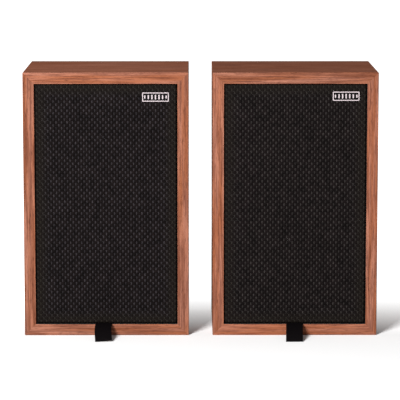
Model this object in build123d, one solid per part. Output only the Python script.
"""A pair of small sealed two-way loudspeakers for a desk or a shelf.

Each cabinet is a mitred wooden box with a screwed baffle, a rear-mounted bass unit, a dome tweeter in a felt
surround, a crossover on the back panel, two screw terminals and a cloth grille that pulls off by its tab.

Every piece is modelled once in the cabinet's own frame: x across, y backwards from the front edge of the
cabinet, z up from the surface that it stands on. Both cabinets are then placed side by side. Millimetres.
"""

import os
from math import cos, pi, radians, sin, sqrt

from build123d import *

# ---- driving dimensions -------------------------------------------------------------------------------------
WIDTH, DEPTH, HEIGHT = 190.0, 165.0, 305.0
WALL = 13.0  # panel thickness, veneer included
EDGE_ROUND = 0.8
GAP_BETWEEN = 27.4  # free space between the two cabinets

BAFFLE_SET_BACK, BAFFLE_THICK, BAFFLE_PLAY = 13.0, 12.0, 0.25
BACK_SET_IN, BATTEN = 1.0, 15.0
BITUMEN_THICK, FOAM_THICK = 8.0, 14.0

WOOFER_Z, TWEETER_Z = 98.0, 222.0
WOOFER_HOLE_R, FLANGE_R, FLANGE_THICK = 57.0, 65.5, 2.0
WOOFER_SCREW_R = 61.3
ROLL_R, ROLL_MID_R, RUBBER_THICK = 4.5, 47.0, 1.0
CONE_EDGE_R, CONE_NECK_R, CONE_DEPTH, CONE_THICK = 39.0, 12.95, 21.0, 1.0
DUST_CAP_R, DUST_CAP_RISE = 17.5, 6.5
FORMER_R, COIL_R, POLE_R, MOTOR_GAP_R = 12.6, 13.6, 12.0, 14.4
MOTOR_R, MAGNET_R = 43.0, 45.0

FACEPLATE_R, FACEPLATE_THICK, TWEETER_SCREW_R = 54.0, 3.0, 47.0
TWEETER_BORE_R, TWEETER_MAGNET_R, TWEETER_HOLE_R = 13.0, 36.0, 38.0
DOME_R, DOME_RISE, DOME_EDGE_R = 9.8, 3.4, 12.5
GUARD_R, GUARD_RISE, GUARD_THICK, GUARD_HOLE_R = 15.0, 6.0, 0.8, 1.0
FELT_OUTER, FELT_INNER, FELT_THICK = 100.0, 58.0, 6.5

GRILLE_PLAY, CLOTH_THICK, CLOTH_SET_BACK = 0.8, 0.6, 1.7
RAIL_WIDE, PAD_THICK = 16.0, 1.2
BADGE_WIDE, BADGE_HIGH, BADGE_THICK = 30.4, 10.4, 1.2
BADGE_INSET = {"left": (9.8, 9.9), "right": (9.1, 9.0)}  # from the opening's right and top edges, glued by hand

TAB_WIDE, TAB_THICK, TAB_BEND_R, TAB_TURN, TAB_LEAD = 19.3, 1.6, 62.0, 38.0, 3.0
TAB_PIVOT_Y, TAB_PIVOT_RISE = 0.6, 1.4
TAB_SHIFT = {"left": -3.4, "right": 0.0}

POST_Z, POST_SPACING = 62.0, 19.05
POSTS = {"red": -POST_SPACING / 2, "black": POST_SPACING / 2}
BUSH_R, SLEEVE_R, BUSH_THICK = 8.0, 5.0, 3.0
STUD_R, SOCKET_R, SOCKET_DEPTH, STUD_SHORT = 3.0, 2.05, 17.0, 0.5
WASHER_R, WASHER_THICK, KNOB_R, KNOB_LONG = 6.6, 1.6, 7.2, 20.0

# ---- places that follow from them, in the cabinet's own frame -------------------------------------------------
IN_X, IN_LOW, IN_HIGH = WIDTH / 2 - WALL, WALL, HEIGHT - WALL
BAFFLE_BACK = BAFFLE_SET_BACK + BAFFLE_THICK
BACK_OUTER = DEPTH - BACK_SET_IN
BACK_INNER = BACK_OUTER - WALL
GRILLE_BACK = BAFFLE_SET_BACK - 2 * PAD_THICK
RAIL_FRONT = CLOTH_SET_BACK + CLOTH_THICK
CONE_NECK_Y = BAFFLE_BACK + CONE_DEPTH
SPIDER_Y = CONE_NECK_Y + 2.0
SHELF_Y = SPIDER_Y + 1.0
MOTOR_Y = BAFFLE_BACK + 31.0
TOP_PLATE, MAGNET_THICK, BACK_PLATE = 6.0, 15.0, 6.0
TWEETER_BACK = BAFFLE_SET_BACK + FACEPLATE_THICK
WASHER_Y = BACK_OUTER + BUSH_THICK
KNOB_Y = WASHER_Y + WASHER_THICK
KNOB_END = KNOB_Y + KNOB_LONG
STUD_END = KNOB_END - STUD_SHORT
BOARD_Y, BOARD_THICK, BOARD_WIDE = BACK_INNER - 10.0, 1.6, 110.0
BOARD_LOW, BOARD_HIGH = 122.0, 242.0
TAB_PIVOT_Z = IN_LOW + TAB_PIVOT_RISE
TAB_REACH = (
    TAB_LEAD - TAB_PIVOT_Y + (TAB_BEND_R + TAB_THICK / 2) * sin(radians(TAB_TURN))
)

# The pair's frame has its origin under the middle of everything, tabs and terminals included.
FRONT_Y = -(KNOB_END - TAB_REACH) / 2
CENTRE_X = {"left": -(GAP_BETWEEN + WIDTH) / 2, "right": (GAP_BETWEEN + WIDTH) / 2}


# ---- small tools ----------------------------------------------------------------------------------------------
def block(x0, x1, y0, y1, z0, z1):
    return Pos((x0 + x1) / 2, (y0 + y1) / 2, (z0 + z1) / 2) * Box(x1 - x0, y1 - y0, z1 - z0)


def prism(outline, y0, y1):
    """A straight prism along y, from an outline of (x, z) points."""
    edge = Polyline(*[(x, y0, z) for x, z in outline], close=True)
    return extrude(make_face(edge), amount=y1 - y0, dir=(0, 1, 0))


def turned(*outline):
    """A solid of revolution about the y axis, from an outline of (radius, y) points."""
    return revolve(make_face(Polyline(*outline, close=True)), Axis.Y)


def rod(radius, y0, y1):
    return Pos(0, (y0 + y1) / 2, 0) * Rot(90, 0, 0) * Cylinder(radius, y1 - y0)


def ring(outer, inner, y0, y1):
    return rod(outer, y0, y1) - rod(inner, y0 - 1, y1 + 1)


def bowl(rim_r, rise, thick, rim_y):
    """A thin spherical cap that bulges to the front, with its rim at rim_y."""
    radius = (rim_r**2 + rise**2) / (2 * rise)
    centre = Pos(0, rim_y - rise + radius, 0)
    shell = centre * Sphere(radius) - centre * Sphere(radius - thick)
    return shell & rod(rim_r + 1, rim_y - rise - 1, rim_y)


def round_about(radius, count, start):
    """(x, z) of points evenly spaced on a circle, with the first at start degrees."""
    turns = [radians(start + 360 / count * i) for i in range(count)]
    return [(radius * cos(a), radius * sin(a)) for a in turns]


def group(*shapes):
    return Compound(children=[solid for shape in shapes for solid in shape.solids()])


def sunk_screw(thread_r, head_r, length, play=0.0):
    """A countersunk screw, or with some play the hole for it."""
    r, head = thread_r + play, head_r + play
    if play:
        return turned((0, -1), (head, -1), (head, 0), (r, head_r - thread_r), (r, length), (0, length))
    body = turned((0, 0), (head, 0), (r, head_r - thread_r), (r, length), (0, length))
    slot = block(-head_r * 0.6, head_r * 0.6, -1, head_r * 0.3, -head_r * 0.1, head_r * 0.1)
    return body - slot - Rot(0, 90, 0) * slot


def nut(across_flats, y0, thick, bore_r):
    hexagon = extrude(RegularPolygon(across_flats / sqrt(3), 6), thick)
    return Pos(0, y0, 0) * Rot(-90, 0, 0) * hexagon - rod(bore_r, y0 - 1, y0 + thick + 1)


# ---- cabinet --------------------------------------------------------------------------------------------------
def cabinet_tube():
    body = block(-WIDTH / 2, WIDTH / 2, 0, DEPTH, 0, HEIGHT)
    body = fillet(body.edges(), EDGE_ROUND)
    body -= block(-IN_X, IN_X, -1, DEPTH + 1, IN_LOW, IN_HIGH)
    opening = body.faces().sort_by(Axis.Y)[0].inner_wires()[0]
    return fillet(opening.edges(), EDGE_ROUND / 2)


def mitred_panels():
    """The four walls, cut from one tube along the mitres."""
    tube, over = cabinet_tube(), 1.0
    low, high, wide = -over, HEIGHT + over, WIDTH / 2 + over
    cuts = {
        "top": [(-wide, high), (wide, high), (IN_X, IN_HIGH), (-IN_X, IN_HIGH)],
        "bottom": [(-wide, low), (-IN_X, IN_LOW), (IN_X, IN_LOW), (wide, low)],
        "left": [(-wide, low), (-wide, high), (-IN_X, IN_HIGH), (-IN_X, IN_LOW)],
        "right": [(wide, low), (IN_X, IN_LOW), (IN_X, IN_HIGH), (wide, high)],
    }
    return {name: tube & prism(points, -1, DEPTH + 1) for name, points in cuts.items()}


def back_panel():
    panel = block(-IN_X, IN_X, BACK_INNER, BACK_OUTER, IN_LOW, IN_HIGH)
    for x in POSTS.values():
        panel -= Pos(x, 0, POST_Z) * rod(SLEEVE_R + 0.05, BACK_INNER - 1, BACK_OUTER + 1)
    return panel


BAFFLE_SCREWS = [(side * (IN_X - BATTEN / 2), z) for side in (-1, 1) for z in (22.0, 112.0, 193.0, 283.0)]
BAFFLE_SCREW_LONG = 24.0


def battens():
    """Beech fillets behind the baffle and in front of the back panel, four of each."""
    inner_x, low, high = IN_X - BATTEN, IN_LOW + BATTEN, IN_HIGH - BATTEN
    bars = []
    for y0 in (BAFFLE_BACK, BACK_INNER - BATTEN):
        y1 = y0 + BATTEN
        bars += [block(-IN_X, IN_X, y0, y1, IN_LOW, low), block(-IN_X, IN_X, y0, y1, high, IN_HIGH)]
        bars += [block(-IN_X, -inner_x, y0, y1, low, high), block(inner_x, IN_X, y0, y1, low, high)]
    whole = group(*bars)
    for x, z in BAFFLE_SCREWS:
        whole -= Pos(x, BAFFLE_SET_BACK, z) * sunk_screw(2.0, 4.0, BAFFLE_SCREW_LONG, 0.05)
    return whole


def damping_pads():
    """Bitumen pads on the four walls with acoustic foam over them."""
    y0, y1 = BAFFLE_BACK + BATTEN + 1, BACK_INNER - BATTEN - 1
    layers, inset = [], 0.0
    for thick in (BITUMEN_THICK, FOAM_THICK):
        outer, inner = inset, inset + thick
        for low, high in ((IN_LOW + outer, IN_LOW + inner), (IN_HIGH - inner, IN_HIGH - outer)):
            layers.append(block(-IN_X + inner, IN_X - inner, y0, y1, low, high))
        for x0, x1 in ((-IN_X + outer, -IN_X + inner), (IN_X - inner, IN_X - outer)):
            layers.append(block(x0, x1, y0, y1, IN_LOW + outer, IN_HIGH - outer))
        inset = inner
    return group(*layers)


def woofer_screw_places():
    return round_about(WOOFER_SCREW_R, 4, 45)


def tweeter_screw_places():
    return round_about(TWEETER_SCREW_R, 4, 45)


def baffle():
    play = BAFFLE_PLAY
    board = block(-IN_X + play, IN_X - play, BAFFLE_SET_BACK, BAFFLE_BACK, IN_LOW + play, IN_HIGH - play)
    board -= Pos(0, 0, WOOFER_Z) * rod(WOOFER_HOLE_R, 0, DEPTH)
    board -= Pos(0, 0, TWEETER_Z) * rod(TWEETER_HOLE_R, 0, DEPTH)
    board -= Pos(0, 0, TWEETER_Z) * rod(FACEPLATE_R + 0.1, 0, TWEETER_BACK)
    for x, z in BAFFLE_SCREWS:
        board -= Pos(x, BAFFLE_SET_BACK, z) * sunk_screw(2.0, 4.0, BAFFLE_SCREW_LONG, 0.05)
    for x, z in woofer_screw_places():
        board -= Pos(x, BAFFLE_SET_BACK, WOOFER_Z + z) * sunk_screw(2.0, 4.0, BAFFLE_SCREW_LONG, 0.05)
    for x, z in tweeter_screw_places():
        board -= Pos(x, BAFFLE_SET_BACK, TWEETER_Z + z) * sunk_screw(1.5, 3.0, 10.0, 0.05)
    return board


def front_screws():
    """Eight baffle screws, four bass unit bolts with their nuts, and four tweeter screws."""
    pieces = [Pos(x, BAFFLE_SET_BACK, z) * sunk_screw(2.0, 4.0, BAFFLE_SCREW_LONG) for x, z in BAFFLE_SCREWS]
    nut_y = BAFFLE_BACK + FLANGE_THICK
    for x, z in woofer_screw_places():
        pieces.append(Pos(x, BAFFLE_SET_BACK, WOOFER_Z + z) * sunk_screw(2.0, 4.0, 18.5))
        pieces.append(Pos(x, 0, WOOFER_Z + z) * nut(7.0, nut_y, 3.2, 2.02))
    for x, z in tweeter_screw_places():
        pieces.append(Pos(x, BAFFLE_SET_BACK, TWEETER_Z + z) * sunk_screw(1.5, 3.0, 10.0))
    return group(*pieces)


PADS = [(x, z) for x in (-50.0, 50.0) for z in (IN_LOW + 9.5, IN_HIGH - 9.5)]


def fastener_pads(y0):
    """Hook or loop pads near the corners, where the grille meets the baffle."""
    return [block(x - 13, x + 13, y0, y0 + PAD_THICK, z - 6, z + 6) for x, z in PADS]


# ---- bass unit, about its own axis, placed at WOOFER_Z -----------------------------------------------------------
def woofer_basket():
    y0, y1, base = BAFFLE_BACK, BAFFLE_BACK + FLANGE_THICK, MOTOR_Y
    frame = turned(
        (51, y0), (FLANGE_R, y0), (FLANGE_R, y1), (54, y1), (44.5, SHELF_Y), (43, base), (16, base),
        (16, base - 2), (41, base - 2), (42, SHELF_Y + 2), (36, SHELF_Y + 2), (36, SHELF_Y), (42.3, SHELF_Y),
        (51.2, y1 + 1.2), (51, y1),
    )  # fmt: skip
    window = block(30, 60, y1 + 4, SHELF_Y - 3, -13, 13)
    for i in range(6):
        frame -= Rot(0, 60 * i + 30, 0) * window
    for x, z in woofer_screw_places():
        frame -= Pos(x, 0, z) * rod(2.1, y0 - 1, y1 + 1)
    return frame


def woofer_magnet():
    """Front plate, ferrite ring, and back plate with its pole."""
    plate_end = MOTOR_Y + TOP_PLATE
    magnet_end = plate_end + MAGNET_THICK
    top_plate = ring(MOTOR_R, MOTOR_GAP_R, MOTOR_Y, plate_end)
    magnet = ring(MAGNET_R, 22, plate_end, magnet_end)
    back = magnet_end + BACK_PLATE
    yoke = turned(
        (0, MOTOR_Y), (POLE_R, MOTOR_Y), (POLE_R, magnet_end), (MOTOR_R, magnet_end), (MOTOR_R, back - 1),
        (MOTOR_R - 1, back), (0, back),
    )  # fmt: skip
    return group(top_plate, magnet, yoke)


def woofer_surround():
    """A half roll of rubber between the basket's front and the cone's edge."""
    glue, front = BAFFLE_BACK, BAFFLE_BACK - RUBBER_THICK
    mid, outer, inner = ROLL_MID_R, ROLL_R, ROLL_R - RUBBER_THICK
    rim = 56.5
    edge = [
        Polyline((mid + inner, glue), (rim, glue), (rim, front), (mid + outer, front)),
        ThreePointArc((mid + outer, front), (mid, front - outer), (mid - outer, front)),
        Polyline(
            (mid - outer, front), (CONE_EDGE_R, front), (CONE_EDGE_R, glue), (mid - inner, glue),
            (mid - inner, front),
        ),
        ThreePointArc((mid - inner, front), (mid, front - inner), (mid + inner, front)),
        Line((mid + inner, front), (mid + inner, glue)),
    ]  # fmt: skip
    return revolve(make_face(Curve() + edge), Axis.Y)


def woofer_spider():
    """A corrugated disc between the voice coil former and the basket's shelf."""
    thick, start, wave, waves = 0.6, 18.0, 4.0, 4

    def ridge_line(y):
        steps, lines = range(waves), []
        for i in steps:
            r, bend = start + wave * i, (-1) ** i * 1.2
            lines.append(ThreePointArc((r, y), (r + wave / 2, y + bend), (r + wave, y)))
        return lines

    end = start + wave * waves
    front, back = SPIDER_Y + 1 - thick, SPIDER_Y + 1
    outer = Polyline((end, front), (39.5, front), (39.5, back), (end, back))
    inner = Polyline((start, back), (FORMER_R + 0.35, back), (FORMER_R + 0.35, front), (start, front))
    face = make_face(Curve() + ridge_line(front) + [outer] + ridge_line(back) + [inner])
    return revolve(face, Axis.Y)


def woofer_cone():
    """The cone with its flat rim, and the dust cap glued into it."""
    rim_y, edge, neck = BAFFLE_BACK, CONE_EDGE_R, CONE_NECK_R
    slope = sqrt((edge - neck) ** 2 + CONE_DEPTH**2) / (edge - neck) * CONE_THICK
    cone = turned(
        (ROLL_MID_R - ROLL_R + 0.9, rim_y), (edge, rim_y), (neck, CONE_NECK_Y), (neck, CONE_NECK_Y + slope),
        (edge - 0.6, rim_y + CONE_THICK), (ROLL_MID_R - ROLL_R + 0.9, rim_y + CONE_THICK),
    )  # fmt: skip
    rest_y = rim_y + CONE_DEPTH * (edge - DUST_CAP_R) / (edge - neck)
    inside = turned((0, 0), (edge, 0), (edge, rim_y), (neck, CONE_NECK_Y), (0, CONE_NECK_Y))
    cap = bowl(DUST_CAP_R + 0.4, DUST_CAP_RISE, 0.8, rest_y + 0.4) & inside
    return group(cone, cap)


def woofer_voice_coil():
    """A thin former with the winding at its end."""
    front, winding, end = CONE_NECK_Y - 5, MOTOR_Y + 1, MOTOR_Y + 10
    return turned(
        (FORMER_R, front), (FORMER_R + 0.3, front), (FORMER_R + 0.3, winding), (COIL_R, winding), (COIL_R, end),
        (FORMER_R, end),
    )  # fmt: skip


# ---- tweeter, about its own axis, placed at TWEETER_Z ------------------------------------------------------------
def tweeter_faceplate():
    front = BAFFLE_SET_BACK
    plate = ring(FACEPLATE_R, TWEETER_BORE_R, front, TWEETER_BACK)
    for x, z in tweeter_screw_places():
        plate -= Pos(x, front, z) * sunk_screw(1.5, 3.0, 10.0, 0.05)
    return plate


def tweeter_magnet():
    """Front plate, ring magnet, and back plate with its pole."""
    y0 = TWEETER_BACK
    front_plate = ring(TWEETER_MAGNET_R, DOME_R + 0.7, y0 + 1.0, y0 + 5)
    spacer = ring(TWEETER_MAGNET_R, TWEETER_BORE_R + 1, y0, y0 + 1.0)
    magnet = ring(TWEETER_MAGNET_R, 16, y0 + 5, y0 + 19)
    pole_r = DOME_R - 0.7
    yoke = turned(
        (0, y0 + 1.5), (pole_r, y0 + 1.5), (pole_r, y0 + 19), (TWEETER_MAGNET_R, y0 + 19),
        (TWEETER_MAGNET_R, y0 + 23), (0, y0 + 23),
    )  # fmt: skip
    return group(front_plate, spacer, magnet, yoke)


def tweeter_guard():
    """A perforated metal cap over the dome, on a flat flange."""
    flange_y = BAFFLE_SET_BACK - GUARD_THICK
    cap = bowl(GUARD_R, GUARD_RISE, GUARD_THICK, BAFFLE_SET_BACK)
    cap = cap + ring(GUARD_R + 4.5, GUARD_R - 0.6, flange_y, BAFFLE_SET_BACK)
    holes = [(0.0, 0.0)]
    for row, radius in enumerate((3.2, 6.4, 9.6, 12.6), start=1):
        holes += round_about(radius, 6 * row, 15 * row)
    drills = [Pos(x, 0, z) * rod(GUARD_HOLE_R, 0, BAFFLE_SET_BACK + 5) for x, z in holes]
    return cap - drills


def tweeter_dome():
    """The soft dome with its edge roll and the coil former behind it."""
    edge_y = BAFFLE_SET_BACK + 1.4
    dome = bowl(DOME_R, DOME_RISE, 0.4, edge_y)
    edge = ring(DOME_EDGE_R, DOME_R - 0.6, edge_y - 0.4, edge_y)
    former = ring(DOME_R + 0.1, DOME_R - 0.3, edge_y - 0.2, TWEETER_BACK + 5)
    return dome + edge + former


def tweeter_felt():
    """Four felt strips in a square round the tweeter."""
    y0, y1 = BAFFLE_SET_BACK - FELT_THICK, BAFFLE_SET_BACK
    out, inn = FELT_OUTER / 2, FELT_INNER / 2
    strips = [block(-out, out, y0, y1, inn, out), block(-out, out, y0, y1, -out, -inn)]
    strips += [block(-out, -inn, y0, y1, -inn, inn), block(inn, out, y0, y1, -inn, inn)]
    return group(*strips)


# ---- crossover and wiring -----------------------------------------------------------------------------------------
def wire(points, radius=0.9):
    """A round lead through these points, straight between them and bent in arcs at each."""
    path = FilletPolyline(*points, radius=8.0)
    start = Plane(origin=path @ 0, z_dir=path % 0)
    return sweep(start * Circle(radius), path=path)


def crossover():
    """The circuit board on its pillars, its coils, capacitors and resistors, and the leads."""
    half, front = BOARD_WIDE / 2, BOARD_Y - BOARD_THICK
    board = block(-half, half, front, BOARD_Y, BOARD_LOW, BOARD_HIGH)
    corners = [(x, z) for x in (-half + 6, half - 6) for z in (BOARD_LOW + 6, BOARD_HIGH - 6)]
    pillars = [Pos(x, 0, z) * rod(3.0, BOARD_Y, BACK_INNER) for x, z in corners]
    pieces = [board, *pillars]
    for x, z in ((-28.0, 150.0), (28.0, 150.0), (-28.0, 212.0)):
        core = block(x - 17, x + 17, front - 26, front, z - 14, z + 14)
        winding = block(x - 10, x + 10, front - 24, front - 2, z - 20, z + 20)
        pieces.append(core + winding)
    for x, z in ((14.0, 186.0), (14.0, 204.0), (14.0, 222.0)):
        body = fillet(block(x, x + 30, front - 16, front, z - 7, z + 7).edges(), 1.0)
        pieces.append(body)
    for z in (178.0, 190.0):
        pieces.append(Pos(-28, front - 5.5, z) * Rot(0, 90, 0) * Cylinder(5.0, 34))
    pieces.append(Pos(28, front - 4, 232) * Rot(0, 90, 0) * Cylinder(3.5, 24))
    tag_y, end_y = BACK_INNER - 7.4, front + 0.8
    for x in POSTS.values():
        pieces.append(wire([(x, tag_y, POST_Z + 13), (x, tag_y, 95), (x, end_y, 108), (x, end_y, BOARD_LOW)]))
    return group(*pieces)


# ---- terminals -------------------------------------------------------------------------------------------------------
def terminal_post():
    """One threaded stud in its two-part insulating bush, with a nut and a solder tag inside."""
    stud = turned(
        (0, BACK_INNER - 12), (STUD_R, BACK_INNER - 12), (STUD_R, STUD_END - 0.4), (STUD_R - 0.4, STUD_END),
        (0, STUD_END),
    )  # fmt: skip
    stud -= rod(SOCKET_R, STUD_END - SOCKET_DEPTH, STUD_END + 1)
    bush = turned(
        (STUD_R + 0.02, BACK_INNER), (SLEEVE_R, BACK_INNER), (SLEEVE_R, BACK_OUTER), (BUSH_R, BACK_OUTER),
        (BUSH_R, WASHER_Y - 0.6), (BUSH_R - 0.6, WASHER_Y), (STUD_R + 0.02, WASHER_Y),
    )  # fmt: skip
    inner_bush = ring(BUSH_R, STUD_R + 0.02, BACK_INNER - 2, BACK_INNER)
    lock_nut = nut(10.0, BACK_INNER - 7, 5.0, STUD_R + 0.02)
    tag_y = BACK_INNER - 7.8
    tag = rod(5.0, tag_y, tag_y + 0.8) + block(-2, 2, tag_y, tag_y + 0.8, 0, 13)
    tag -= rod(STUD_R + 0.02, tag_y - 1, tag_y + 2)
    return [stud, bush, inner_bush, lock_nut, tag]


def terminal_posts():
    pieces = [Pos(x, 0, POST_Z) * piece for x in POSTS.values() for piece in terminal_post()]
    return group(*pieces)


def terminal_washer():
    return ring(WASHER_R, STUD_R + 0.1, WASHER_Y, KNOB_Y)


def terminal_knob():
    """A fluted thumb nut with a plain collar at the panel end."""
    grip = KNOB_Y + 3.0
    knob = turned(
        (STUD_R + 0.06, KNOB_Y), (KNOB_R - 0.6, KNOB_Y), (KNOB_R - 0.6, grip), (KNOB_R, grip + 0.6),
        (KNOB_R, KNOB_END - 1.0), (KNOB_R - 1.0, KNOB_END), (STUD_R + 0.06, KNOB_END),
    )  # fmt: skip
    for x, z in round_about(KNOB_R + 0.45, 18, 0):
        knob -= Pos(x, 0, z) * rod(0.9, grip, KNOB_END + 1)
    return knob


# ---- grille ------------------------------------------------------------------------------------------------------------
def grille_block(inset, y0):
    """The grille's outer shape, less inset, with soft front edges."""
    x, low, high = IN_X - GRILLE_PLAY - inset, IN_LOW + GRILLE_PLAY + inset, IN_HIGH - GRILLE_PLAY - inset
    body = block(-x, x, y0, GRILLE_BACK, low, high)
    front = body.faces().sort_by(Axis.Y)[0]
    return fillet(front.edges(), 2.0 - inset)


def grille_mitres(width):
    """Outlines that part the grille's edge into a top, a bottom and two sides, cut at the corners."""
    x, low, high = IN_X - GRILLE_PLAY, IN_LOW + GRILLE_PLAY, IN_HIGH - GRILLE_PLAY
    in_x, in_low, in_high = x - width, low + width, high - width
    return [
        [(-x, high), (x, high), (in_x, in_high), (-in_x, in_high)],
        [(-x, low), (-in_x, in_low), (in_x, in_low), (x, low)],
        [(-x, low), (-x, high), (-in_x, in_high), (-in_x, in_low)],
        [(x, low), (in_x, in_low), (in_x, in_high), (x, high)],
    ]


def grille_frame():
    """Four mitred rails, with the loop pads on their backs."""
    body, edge = grille_block(CLOTH_THICK, RAIL_FRONT), CLOTH_THICK + RAIL_WIDE
    rails = [body & prism(outline, 0, DEPTH) for outline in grille_mitres(edge)]
    return group(*rails, *fastener_pads(GRILLE_BACK))


def grille_cloth():
    """The cloth over the frame's front, with its four turned-back edges cut at the corners."""
    tray = grille_block(0.0, CLOTH_SET_BACK) - grille_block(CLOTH_THICK, RAIL_FRONT)
    before_rails = block(-WIDTH, WIDTH, 0, RAIL_FRONT, 0, HEIGHT)
    turned_back = tray - before_rails
    edges = [turned_back & prism(outline, 0, DEPTH) for outline in grille_mitres(RAIL_WIDE)]
    return group(tray & before_rails, *edges)


def badge(inset):
    right, top = IN_X - inset[0], IN_HIGH - inset[1]
    front = CLOTH_SET_BACK - BADGE_THICK
    plate = block(right - BADGE_WIDE, right, front, CLOTH_SET_BACK, top - BADGE_HIGH, top)
    return fillet(plate.faces().sort_by(Axis.Y)[0].edges(), 0.3)


def pull_tab(shift):
    """A doubled ribbon that leaves the grille's lower edge, runs out over the cabinet and droops in one arc."""
    half, pivot_y, pivot_z = TAB_THICK / 2, TAB_PIVOT_Y, TAB_PIVOT_Z
    bend_y, turn = pivot_y - TAB_LEAD, radians(TAB_TURN)

    def on_arc(radius, angle):
        return (0, bend_y - radius * sin(angle), pivot_z - TAB_BEND_R + radius * cos(angle))

    outer, inner = TAB_BEND_R + half, TAB_BEND_R - half
    edge = [
        ThreePointArc((0, pivot_y, pivot_z - half), (0, pivot_y + half, pivot_z), (0, pivot_y, pivot_z + half)),
        Line((0, pivot_y, pivot_z + half), on_arc(outer, 0)),
        ThreePointArc(on_arc(outer, 0), on_arc(outer, turn / 2), on_arc(outer, turn)),
        Line(on_arc(outer, turn), on_arc(inner, turn)),
        ThreePointArc(on_arc(inner, turn), on_arc(inner, turn / 2), on_arc(inner, 0)),
        Line(on_arc(inner, 0), (0, pivot_y, pivot_z - half)),
    ]
    ribbon = extrude(make_face(Curve() + edge), amount=TAB_WIDE, dir=(1, 0, 0))
    return Pos(shift - TAB_WIDE / 2, 0, 0) * ribbon


# ---- both cabinets -----------------------------------------------------------------------------------------------------
def speaker_pieces():
    """Every piece that is alike in both speakers, in the cabinet's own frame."""
    walls = mitred_panels()
    at_woofer, at_tweeter = Pos(0, 0, WOOFER_Z), Pos(0, 0, TWEETER_Z)
    pieces = {
        "top_panel": walls["top"],
        "bottom_panel": walls["bottom"],
        "side_panels": group(walls["left"], walls["right"]),
        "back_panel": back_panel(),
        "battens": battens(),
        "damping_pads": damping_pads(),
        "baffle": baffle(),
        "front_screws": front_screws(),
        "hook_pads": group(*fastener_pads(BAFFLE_SET_BACK - PAD_THICK)),
        "woofer_basket": at_woofer * woofer_basket(),
        "woofer_magnet": at_woofer * woofer_magnet(),
        "woofer_surround": at_woofer * woofer_surround(),
        "woofer_spider": at_woofer * woofer_spider(),
        "woofer_cone": at_woofer * woofer_cone(),
        "woofer_voice_coil": at_woofer * woofer_voice_coil(),
        "tweeter_faceplate": at_tweeter * tweeter_faceplate(),
        "tweeter_magnet": at_tweeter * tweeter_magnet(),
        "tweeter_guard": at_tweeter * tweeter_guard(),
        "tweeter_dome": at_tweeter * tweeter_dome(),
        "tweeter_felt": at_tweeter * tweeter_felt(),
        "crossover": crossover(),
        "terminal_posts": terminal_posts(),
        "grille_frame": grille_frame(),
        "grille_cloth": grille_cloth(),
    }
    for colour, x in POSTS.items():
        pieces[f"{colour}_washer"] = Pos(x, 0, POST_Z) * terminal_washer()
        pieces[f"{colour}_knob"] = Pos(x, 0, POST_Z) * terminal_knob()
    return pieces


def main():
    os.makedirs("parts", exist_ok=True)
    shared = speaker_pieces()
    for side, centre_x in CENTRE_X.items():
        place = Pos(centre_x, FRONT_Y, 0)
        own = {"badge": badge(BADGE_INSET[side]), "pull_tab": pull_tab(TAB_SHIFT[side])}
        for name, shape in {**shared, **own}.items():
            export_step(group(place * shape), f"parts/{side}_{name}.step")
    print("front edge at y", round(FRONT_Y, 3), "tab reach", round(TAB_REACH, 3))


main()
